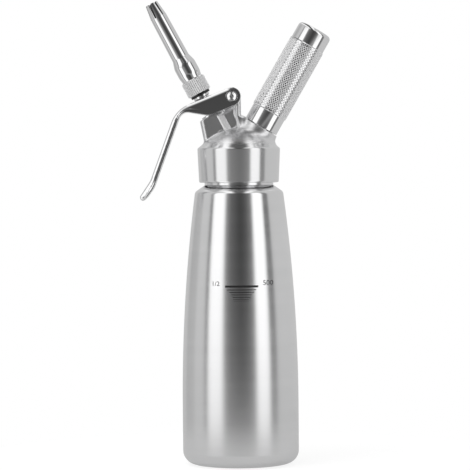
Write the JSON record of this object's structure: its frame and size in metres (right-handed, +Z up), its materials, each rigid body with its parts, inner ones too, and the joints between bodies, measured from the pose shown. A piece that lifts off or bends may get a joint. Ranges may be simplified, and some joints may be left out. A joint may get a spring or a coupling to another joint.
{
  "type": "whipped cream dispenser",
  "caption": "Steel whipped cream dispenser with a tapering bottle, a screw-on head, a squeeze lever, a slitted decorator nozzle and a knurled charger holder.",
  "frame": {"origin": "centre of the bottle's foot, on the surface that it stands on", "axes": "+Z up along the bottle's axis, +X towards the charger holder's side, the lever on -X; the object is symmetric about Y = 0 except for its threads and the pivot screw"},
  "size_m": [0.1264, 0.077, 0.3073],
  "materials": {
    "bottle_steel": "satin, brushed round the bottle",
    "head_steel": "satin",
    "turned_steel": "turned",
    "polished_steel": "polished",
    "holder_steel": "knurled and polished",
    "charger_steel": "plain steel",
    "gasket_rubber": "matte",
    "black_rubber": "matte"
  },
  "bodies": {
    "bottle": {"bottle": "bottle_steel", "neck_thread_ring": "turned_steel"},
    "head_gasket": {"head_gasket": "gasket_rubber"},
    "head": {"head": "head_steel", "valve_guide_bush": "turned_steel", "stem_o_ring": "black_rubber", "pin_carrier": "turned_steel", "piercing_pin": "turned_steel", "charger_seal": "black_rubber", "check_valve": "black_rubber", "carrier_nut": "turned_steel", "pivot_screw": "turned_steel", "pivot_nut": "turned_steel", "valve_spring": "turned_steel"},
    "lever": {"lever": "polished_steel"},
    "valve_stem": {"valve_stem": "turned_steel", "valve_seat_gasket": "black_rubber", "press_collar": "turned_steel", "spring_retainer": "turned_steel"},
    "tip_seal": {"tip_seal": "black_rubber"},
    "decorator_tip": {"decorator_tip": "polished_steel", "tip_nut": "turned_steel"},
    "gas_charger": {"gas_charger": "charger_steel"},
    "charger_holder": {"charger_holder": "holder_steel", "holder_cushion": "black_rubber"}
  },
  "joints": [
    {"name": "head_lift", "type": "slide", "parent": "bottle", "child": "head_gasket", "axis": [0, 0, 1], "range_m": [0, 0.024]},
    {"name": "head_turn", "type": "hinge", "parent": "head_gasket", "child": "head", "pos_m": [0, 0, 0.206], "axis": [0, 0, 1], "range_deg": [0, 1440]},
    {"name": "lever_hinge", "type": "hinge", "parent": "head", "child": "lever", "pos_m": [-0.0044, 0, 0.2435], "axis": [0, -1, 0], "range_deg": [0, 9], "stiffness_Nm_per_rad": 0.47, "springref_deg": -18.68},
    {"name": "stem_slide", "type": "slide", "parent": "head", "child": "valve_stem", "axis": [0.4695, 0, -0.8829], "range_m": [0, 0.00242], "deforming": ["valve_spring"]},
    {"name": "tip_lift", "type": "slide", "parent": "valve_stem", "child": "tip_seal", "axis": [-0.4695, 0, 0.8829], "range_m": [0, 0.009]},
    {"name": "tip_turn", "type": "hinge", "parent": "tip_seal", "child": "decorator_tip", "pos_m": [0, 0, 0.198], "axis": [-0.4695, 0, 0.8829], "range_deg": [0, 2160]},
    {"name": "holder_lift", "type": "slide", "parent": "head", "child": "gas_charger", "axis": [0.5, 0, 0.866], "range_m": [0, 0.015]},
    {"name": "holder_turn", "type": "hinge", "parent": "gas_charger", "child": "charger_holder", "pos_m": [0, 0, 0.198], "axis": [0.5, 0, 0.866], "range_deg": [0, 1800]}
  ],
  "couplings": [
    {"joint": "head_lift", "follows": "head_turn", "m_per_rad": 0.00095492},
    {"joint": "stem_slide", "follows": "lever_hinge", "m_per_rad": 0.01534},
    {"joint": "tip_lift", "follows": "tip_turn", "m_per_rad": 0.00023872},
    {"joint": "holder_lift", "follows": "holder_turn", "m_per_rad": 0.00047745}
  ]
}
